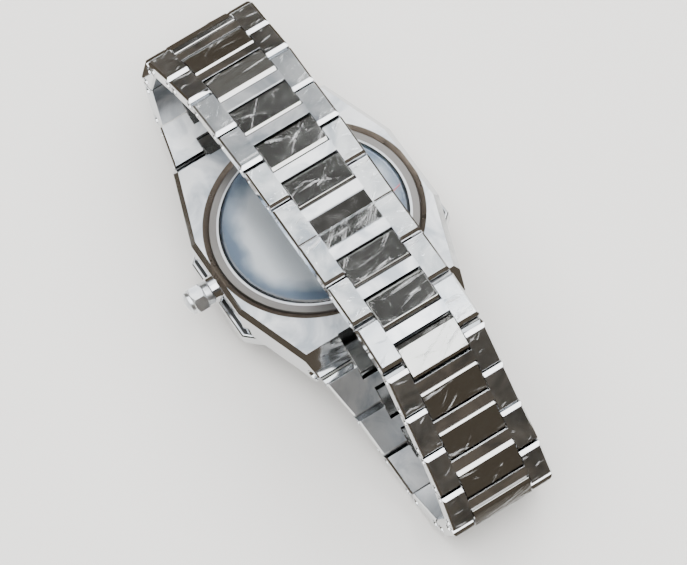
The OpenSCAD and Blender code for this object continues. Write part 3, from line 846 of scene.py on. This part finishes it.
RINGS, SPOKES = 18, 96
CLOSE_LIFT = 0.03  # mm off the steel everywhere
RIPPLE_LIFT = 0.05  # mm more where it ripples
RIM_LIFT = 0.05  # mm more at the rim
RIPPLE_SIZE = 5 * MM
mesh = bmesh.new()
middle_vertex = mesh.verts.new(back_plane(0, 0, back_top + CLOSE_LIFT * MM))
last_ring = None
for ring in range(1, RINGS + 1):
    r = (FILM_RADIUS - FILM_MARGIN) * ring / RINGS
    this_ring = []
    for spoke in range(SPOKES):
        a = 2 * math.pi * spoke / SPOKES
        ripple = abs(noise.noise(Vector((r * math.cos(a), r * math.sin(a), 0)) / RIPPLE_SIZE))
        lift = (CLOSE_LIFT + RIPPLE_LIFT * ripple + RIM_LIFT * (ring / RINGS) ** 6) * MM
        this_ring.append(mesh.verts.new(back_plane(r, a, back_top + lift)))
    for spoke in range(SPOKES):
        after = (spoke + 1) % SPOKES
        if last_ring is None:
            mesh.faces.new((middle_vertex, this_ring[spoke], this_ring[after]))
        else:
            mesh.faces.new((last_ring[spoke], this_ring[spoke], this_ring[after], last_ring[after]))
    last_ring = this_ring
data = bpy.data.meshes.new("film_case_back")
mesh.to_mesh(data)
mesh.free()
if data.polygons[0].normal.dot(case_way) < 0:
    data.flip_normals()
for face in data.polygons:
    face.use_smooth = True
back_film = bpy.data.objects.new("film_case_back", data)
bpy.context.scene.collection.objects.link(back_film)
thick = back_film.modifiers.new("thickness", "SOLIDIFY")
thick.thickness = FILM_T
thick.offset = 1
data.materials.append(film_blue)
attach(back_film, "case")
print("back film", round(2 * FILM_RADIUS / MM, 1), "mm across")

# %% Red line
RED_LINE = ((390.5, 194), (400, 184))  # its two ends in the picture
LINE_WIDTH = 0.22 * MM
LINE_STEPS = 24
INK_LIFT = 0.012 * MM
ink, tree, shader = start_material("printing_ink_red")
where = add(tree, "ShaderNodeTexCoord")
specks = add(tree, "ShaderNodeTexNoise", {"Scale": 1 / (0.5 * MM)}, {"Vector": where.outputs["Object"]})
tone = add(tree, "ShaderNodeValToRGB", links={"Fac": specks.outputs["Fac"]})
tone.color_ramp.elements[0].color = linear("#d98c92")
tone.color_ramp.elements[1].color = linear("#c8525c")
shader.inputs["Roughness"].default_value = 0.5
tree.links.new(tone.outputs["Color"], shader.inputs["Base Color"])

bpy.context.view_layer.update()
film_tree = surface_of([back_film])
(x_a, y_a), (x_b, y_b) = RED_LINE
stations = [
    place_on(film_tree, x_a + (x_b - x_a) * i / LINE_STEPS, y_a + (y_b - y_a) * i / LINE_STEPS)
    for i in range(LINE_STEPS + 1)
]
run = (stations[-1][0] - stations[0][0]).normalized()
mesh = bmesh.new()
edges = []
for place, normal in stations:
    normal = normal if normal.dot(case_way) > 0 else -normal
    side = run.cross(normal).normalized() * LINE_WIDTH / 2
    edges.append([mesh.verts.new(place + normal * INK_LIFT + side * s) for s in (-1, 1)])
for (a, b), (c, d) in zip(edges, edges[1:]):
    mesh.faces.new((a, b, d, c))
data = bpy.data.meshes.new("film_line_red")
mesh.to_mesh(data)
mesh.free()
if data.polygons[0].normal.dot(case_way) < 0:
    data.flip_normals()
data.materials.append(ink)
red_line = bpy.data.objects.new("film_line_red", data)
bpy.context.scene.collection.objects.link(red_line)
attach(red_line, "case")
print("red line", round((stations[-1][0] - stations[0][0]).length / MM, 1), "mm long")

# %% [markdown]
# ## The studio
# A pale table in a room with pale walls and a dim ceiling. Steel is a mirror,
# so it is lit by what it shows. Two long soft boxes hang side by side over the
# bracelet and leave a dark lane between them: satin steel spreads both boxes
# over itself and turns white, while a polished link faces the lane and turns
# dark. A small box fills the lane's front end and gives the rounded edges
# bright lines. Dark cards stand in front of the watch, behind it and on its
# crown side, and two more lie on the table before and behind it: they turn
# both bends of the bracelet dark. Darker steel would do that too, but it would
# stay dark from every side. The cards show only in reflections and through
# the films. The lamps and the steel's colours were matched under Blender's
# default view transform, AgX. Under Standard the lamps would have to come
# down.

# %% Table and room
TABLE_COLOUR = "#e4e2de"
WALL_COLOUR = "#bab9b6"
CEILING_COLOUR = "#605f5d"
CARD_COLOUR = "#6a6054"
ROOM_STRENGTH = 0.65  # of the white light that the room sheds on matt surfaces
WALL_TOP, CEILING_EDGE = 0.25, 0.5  # Z of a ray's direction: the sines of 14 and 30 degrees
TABLE_HALF = 3.0
CARD_X, CARD_Y = 1.5, 1.4
SIDE_BACK = -1.0  # where the card on the crown's side ends
FRONT_HIGH, SIDE_HIGH, BACK_HIGH = 1.4, 0.6, 0.45
CARD_LOW = 0.001  # the lying cards' height over the table


def flat_sheet(name, corners, material):
    """A single four-sided sheet that is part of the studio."""
    mesh = bpy.data.meshes.new(name)
    mesh.from_pydata(corners, [], [(0, 1, 2, 3)])
    mesh.materials.append(material)
    sheet = bpy.data.objects.new(name, mesh)
    bpy.context.scene.collection.objects.link(sheet)
    return sheet


table_card, tree, shader = start_material("table_card")
where = add(tree, "ShaderNodeTexCoord")
fibre = add(tree, "ShaderNodeTexNoise", {"Scale": 1 / (1.5 * MM)}, {"Vector": where.outputs["Object"]})
bump = add(
    tree, "ShaderNodeBump", {"Strength": 0.05, "Distance": 0.02 * MM}, {"Height": fibre.outputs["Fac"]},
)
shader.inputs["Base Color"].default_value = linear(TABLE_COLOUR)
shader.inputs["Roughness"].default_value = 0.9
tree.links.new(bump.outputs["Normal"], shader.inputs["Normal"])
signs = ((-1, -1), (1, -1), (1, 1), (-1, 1))
flat_sheet("table", [(x * TABLE_HALF, y * TABLE_HALF, 0) for x, y in signs], table_card)

dark_card, tree, shader = start_material("dark_card")
shader.inputs["Base Color"].default_value = linear("#000000")
shader.inputs["Specular IOR Level"].default_value = 0.0
shader.inputs["Emission Color"].default_value = linear(CARD_COLOUR)
shader.inputs["Emission Strength"].default_value = 1.0
near_y = cad_box[1][1] + 4 * MM


def standing(start, end, high):
    """The corners of a card that stands on the table from one place to another."""
    return [(*start, 0.0), (*end, 0.0), (*end, high), (*start, high)]


def lying(y_near, y_far):
    """The corners of a card that lies just over the table."""
    ends = ((-CARD_X, y_near), (CARD_X, y_near), (CARD_X, y_far), (-CARD_X, y_far))
    return [(x, y, CARD_LOW) for x, y in ends]


cards = {
    "card_front": standing((-CARD_X, CARD_Y), (CARD_X, CARD_Y), FRONT_HIGH),
    "card_side": standing((CARD_X, CARD_Y), (CARD_X, SIDE_BACK), SIDE_HIGH),
    "card_back": standing((-CARD_X, -CARD_Y), (CARD_X, -CARD_Y), BACK_HIGH),
    "card_low_back": lying(-near_y, -CARD_Y),
    "card_low_front": lying(near_y, CARD_Y),
}
for name, corners in cards.items():
    card = flat_sheet(name, corners, dark_card)
    card.visible_camera = False
    card.visible_diffuse = False
    card.visible_shadow = False

world = bpy.data.worlds.new("studio")
bpy.context.scene.world = world
world.use_nodes = True
tree = world.node_tree
tree.nodes.clear()
where = add(tree, "ShaderNodeTexCoord")
parts = add(tree, "ShaderNodeSeparateXYZ", links={"Vector": where.outputs["Generated"]})
room = add(tree, "ShaderNodeValToRGB", links={"Fac": parts.outputs["Z"]})
room.color_ramp.elements[0].position = WALL_TOP
room.color_ramp.elements[0].color = linear(WALL_COLOUR)
room.color_ramp.elements[1].position = CEILING_EDGE
room.color_ramp.elements[1].color = linear(CEILING_COLOUR)
ray = add(tree, "ShaderNodeLightPath")
mirrored = add(
    tree, "ShaderNodeMath", {}, {0: ray.outputs["Is Glossy Ray"], 1: ray.outputs["Is Transmission Ray"]},
    operation="MAXIMUM",
)
seen = add(
    tree, "ShaderNodeMath", {}, {0: mirrored.outputs[0], 1: ray.outputs["Is Camera Ray"]},
    operation="MAXIMUM",
)
dim = add(tree, "ShaderNodeBackground", {"Color": linear("#ffffff"), "Strength": ROOM_STRENGTH})
bright = add(tree, "ShaderNodeBackground", {"Strength": 1.0}, {"Color": room.outputs["Color"]})
both = add(tree, "ShaderNodeMixShader", {}, {0: seen.outputs[0], 1: dim.outputs[0], 2: bright.outputs[0]})
add(tree, "ShaderNodeOutputWorld", {}, {"Surface": both.outputs[0]})

# %% Soft boxes
BOX_HEIGHT = 0.95
BOX_RADIANCE = 6.0
LANE_X = -0.175  # where the polished links' reflections run along the ceiling
LANE_HALF = 0.125
BOX_WIDTH = 0.65
LONG_BOX_Y = (-1.2, 0.5)
FRONT_BOX_Y = (-0.15, 0.95)


def soft_box(name, low, high, radiance):
    """A box that hangs level and looks down, from corner low to corner high."""
    lamp = bpy.data.lights.new(name, "AREA")
    lamp.shape = "RECTANGLE"
    lamp.size, lamp.size_y = high[0] - low[0], high[1] - low[1]
    lamp.energy = radiance * math.pi * lamp.size * lamp.size_y
    holder = bpy.data.objects.new(name, lamp)
    bpy.context.scene.collection.objects.link(holder)
    holder.location = ((low[0] + high[0]) / 2, (low[1] + high[1]) / 2, BOX_HEIGHT)


lane_left, lane_right = LANE_X - LANE_HALF, LANE_X + LANE_HALF
boxes = {
    "soft_box_left": (lane_left - BOX_WIDTH, lane_left, LONG_BOX_Y),
    "soft_box_right": (lane_right, lane_right + BOX_WIDTH, LONG_BOX_Y),
    "soft_box_front": (lane_left, lane_right, FRONT_BOX_Y),
}
for name, (x_from, x_to, (y_from, y_to)) in boxes.items():
    soft_box(name, (x_from, y_from), (x_to, y_to), BOX_RADIANCE)
print("studio lit by three soft boxes")

# %% [markdown]
# ## How well the picture agrees with the photograph
# Each edge and corner that is easy to find is kept here as a point of the
# picture, with the piece that it belongs to and the way in the picture in
# which it is the furthest corner of that piece. Boxes would be quicker to
# compare, but their corners hang in the air, so the finished vertices that
# really show are used. The differences are printed.

# %% Image points
EDGES = {
    "left": (141.7, (-1, 0)), "right": (552.1, (1, 0)), "top": (1, (0, -1)), "bottom": (536.3, (0, 1)),
}
CORNERS = {
    "crown_end": ((182.5, 294.4), "crown", (-1, 0)),
    "crown_low": ((194.9, 314.6), "crown", (0, 1)),
    "case_corner_left": ((195.3, 242.4), "case_middle", (-0.92, 0.38)),
    "case_corner_low": ((242, 309.2), "case_middle", (-0.67, 0.73)),
    "case_corner_top": ((385, 129.4), "case_middle", (0.6, -0.8)),
    "case_corner_right": ((433.4, 194.5), "case_middle", (0.9, -0.43)),
    "upper_gap_left": ((218.3, 144.4), "h_link_12_6", (-0.6, 0.8)),
    "upper_gap_right": ((313.8, 80.4), "h_link_12_6", (0.8, 0.6)),
    "strand_gap_left": ((270.8, 215), "h_link_12_8", (-0.6, 0.8)),
    "strand_gap_right": ((366.2, 153.1), "h_link_12_8", (0.8, 0.6)),
    "lower_gap_left": ((353.4, 331.8), "h_link_6_11", (-0.6, 0.8)),
    "lower_gap_right": ((449.5, 269.2), "h_link_6_11", (0.8, 0.6)),
    "bend_gap_left": ((440.3, 497.2), "h_link_6_7", (-0.6, 0.8)),
    "bend_gap_right": ((537.7, 437.8), "h_link_6_7", (0.8, 0.6)),
}
RED_LINE_MIDDLE = (396.9, 187.2)
TOUCHING = 0.05 * MM  # a place this close behind the first surface still shows
RIM_DEPTH = 0.1 * MM

bpy.context.view_layer.update()
whole = list(nodes.values()) + films + [back_film, red_line]
whole_tree = surface_of(whole)


def shows(place):
    """Whether nothing stands between the camera and a place."""
    start = camera.matrix_world.translation
    ahead = place - start
    _, _, _, reach = whole_tree.ray_cast(start, ahead.normalized())
    return reach is None or reach > ahead.length - TOUCHING


def furthest(corners, way):
    """The pixel of the vertex that shows and lies furthest along a way in the picture."""
    spots = [(image_point(c), c) for c in corners]
    spots.sort(key=lambda spot: -(spot[0][0] * way[0] + spot[0][1] * way[1]))
    return next((spot for spot, place in spots if shows(place)), None)


def back_face(name):
    """A node's finished vertices; of the case only those round its back face."""
    corners, _ = finished(nodes[name])
    if name != "case_middle":
        return corners
    level = max(c.dot(case_way) for c in corners)
    return [c for c in corners if c.dot(case_way) > level - RIM_DEPTH]


points_report = {}
every_corner = [c for thing in whole for c in finished(thing)[0]]
for name, (value, way) in EDGES.items():
    spot = furthest(every_corner, way)
    across = way[0] != 0
    points_report[name] = {
        "point": value, "x": round(spot[0] - value, 1) if across else None,
        "y": None if across else round(spot[1] - value, 1),
    }
for name, (point, node, way) in CORNERS.items():
    spot = furthest(back_face(node), way)
    points_report[name] = {
        "point": list(point), "x": round(spot[0] - point[0], 1) if spot else None,
        "y": round(spot[1] - point[1], 1) if spot else None,
    }
seen_line = [image_point(c) for c in finished(red_line)[0] if shows(c)]
if seen_line:
    middle = [sum(spot[i] for spot in seen_line) / len(seen_line) for i in (0, 1)]
    points_report["red_line"] = {
        "point": list(RED_LINE_MIDDLE), "x": round(middle[0] - RED_LINE_MIDDLE[0], 1),
        "y": round(middle[1] - RED_LINE_MIDDLE[1], 1),
    }
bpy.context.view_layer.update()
for name, found in points_report.items():
    print(name, "is off by", found["x"], found["y"])
